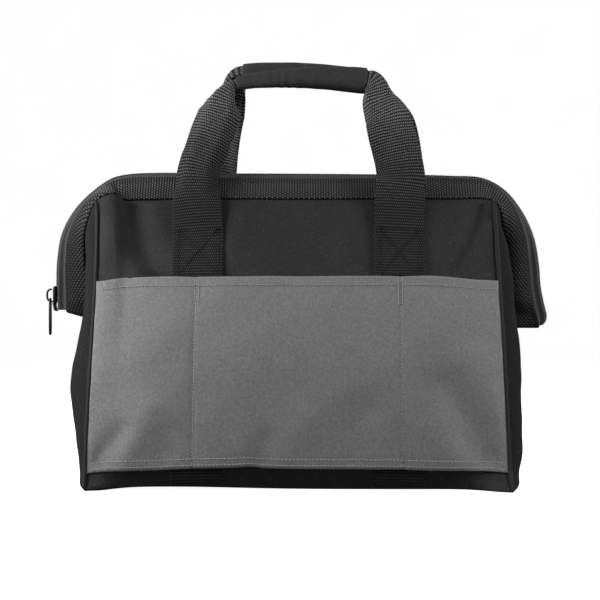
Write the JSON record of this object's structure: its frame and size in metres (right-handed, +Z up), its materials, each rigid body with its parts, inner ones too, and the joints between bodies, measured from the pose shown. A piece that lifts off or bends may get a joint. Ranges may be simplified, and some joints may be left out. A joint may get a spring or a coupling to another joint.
{
  "type": "tool bag",
  "caption": "Wide-mouth zipped tool bag in black woven cloth with a grey front pocket panel, webbing handles in cloth sleeves and drooping zip ends.",
  "frame": {"origin": "on the underside of the base, at the middle of its length and depth", "axes": "+Z up, +X along the bag's length to the right seen from the front, the front faces -Y"},
  "size_m": [0.4263, 0.2024, 0.3536],
  "materials": {
    "black_cloth": "matte black woven polyester",
    "grey_cloth": "matte grey woven polyester",
    "webbing": "ribbed black webbing",
    "sleeve_cloth": "matte black woven polyester",
    "zip_tape": "smooth black woven tape",
    "zip_coil": "black nylon coil",
    "black_metal": "black painted zinc"
  },
  "bodies": {
    "bag": {"base_panel": "black_cloth", "front_panel": "black_cloth", "back_panel": "black_cloth", "pocket_panel": "grey_cloth", "gusset_left": "black_cloth", "gusset_right": "black_cloth", "piping_front_left": "black_cloth", "piping_front_right": "black_cloth", "piping_back_left": "black_cloth", "piping_back_right": "black_cloth", "mouth_band": "webbing", "zip_tape_front": "zip_tape", "zip_tape_back": "zip_tape", "zip_coil": "zip_coil", "zip_slider": "black_metal", "strap_front": "webbing", "strap_back": "webbing", "sleeve_front": "sleeve_cloth", "sleeve_back": "sleeve_cloth"},
    "pull": {"zip_pull": "black_metal"}
  },
  "joints": [
    {"name": "pull_swing", "type": "hinge", "parent": "bag", "child": "pull", "pos_m": [-0.21375, 0, 0.15005], "axis": [0, 1, 0], "range_deg": [-8, 140]}
  ]
}
